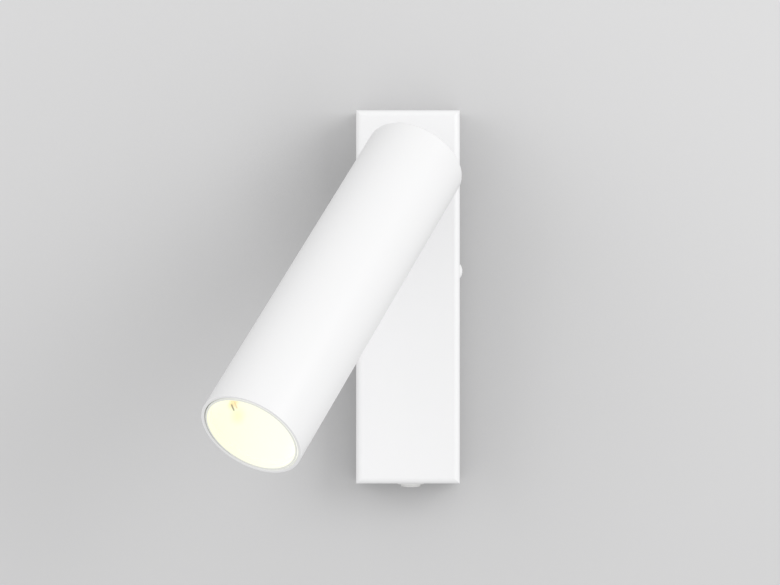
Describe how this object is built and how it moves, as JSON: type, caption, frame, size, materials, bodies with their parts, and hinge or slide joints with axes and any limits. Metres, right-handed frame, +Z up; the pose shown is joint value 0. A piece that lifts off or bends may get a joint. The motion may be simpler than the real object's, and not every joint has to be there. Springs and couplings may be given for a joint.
{
  "type": "wall spotlight",
  "caption": "Wall spotlight with a slim box housing, a push button and a tubular LED head that swivels and tilts on a short arm.",
  "frame": {"origin": "middle of the back of the housing, on the wall plane", "axes": "+Z up, +Y into the wall, +X to the right as seen from the room; the head stands out towards -Y"},
  "size_m": [0.1176, 0.1822, 0.1824],
  "materials": {
    "white_paint": "fine satin powder coat",
    "head_paint": "fine satin powder coat",
    "white_screw": "painted steel",
    "ring_paint": "pale grey satin",
    "zinc_steel": "zinc plated",
    "spring_steel": "hardened spring steel",
    "brass": "plain",
    "bare_aluminium": "bare, extruded and turned",
    "bright_metal": "polished reflector",
    "board_white": "white solder mask",
    "phosphor": "phosphor pad",
    "clear_lens": "clear",
    "nylon": "natural nylon",
    "black_rubber": "soft",
    "terminal_plastic": "cream polyamide",
    "driver_plastic": "white polycarbonate, potted",
    "switch_plastic": "pale grey",
    "switch_cap": "pale grey",
    "wire_brown": "insulation",
    "wire_blue": "insulation",
    "wire_green_yellow": "insulation",
    "lead_white": "two-core lead"
  },
  "bodies": {
    "wall_base": {"wall_bracket": "zinc_steel", "cable_grommet": "black_rubber", "housing_cover": "white_paint", "cover_screws": "white_screw", "bracket_screws": "zinc_steel", "earth_screw": "brass", "terminal_block": "terminal_plastic", "terminal_screws": "zinc_steel", "led_driver": "driver_plastic", "switch_body": "switch_plastic", "switch_nut": "zinc_steel", "switch_spring": "spring_steel", "swivel_washer": "nylon", "inner_washer": "nylon", "stop_post": "zinc_steel", "live_wire": "wire_brown", "switched_wire": "wire_brown", "neutral_wire": "wire_blue", "earth_wire": "wire_green_yellow", "housing_lead": "lead_white"},
    "button": {"switch_button": "switch_cap"},
    "arm": {"swivel_arm": "white_paint", "stop_washer": "zinc_steel", "stem_spring_washer": "spring_steel", "stem_nut": "zinc_steel", "arm_lead": "lead_white"},
    "head": {"friction_discs": "nylon", "tilt_screw": "zinc_steel", "tilt_spring_washer": "spring_steel", "tilt_nut": "zinc_steel", "head_tube": "head_paint", "pivot_block": "head_paint", "tube_screws": "white_screw", "heat_sink": "bare_aluminium", "led_board": "board_white", "board_screws": "zinc_steel", "led_emitter": "phosphor", "reflector": "bright_metal", "front_lens": "clear_lens", "front_ring": "ring_paint", "tilt_loop": "lead_white", "head_lead": "lead_white"}
  },
  "joints": [
    {"name": "swivel_turn", "type": "hinge", "parent": "wall_base", "child": "arm", "pos_m": [0, -0.025, 0.0585], "axis": [0, 1, 0], "range_deg": [-195.3, 134.7]},
    {"name": "head_tilt", "type": "hinge", "parent": "arm", "child": "head", "pos_m": [0, -0.06, 0.0585], "axis": [-0.8634, 0, 0.5045], "range_deg": [-37, 53], "deforming": ["tilt_loop"]},
    {"name": "button_press", "type": "slide", "parent": "wall_base", "child": "button", "axis": [0, 0, 1], "range_m": [0, 0.001], "stiffness_N_per_m": 800, "springref_m": -0.002, "deforming": ["switch_spring"]}
  ]
}
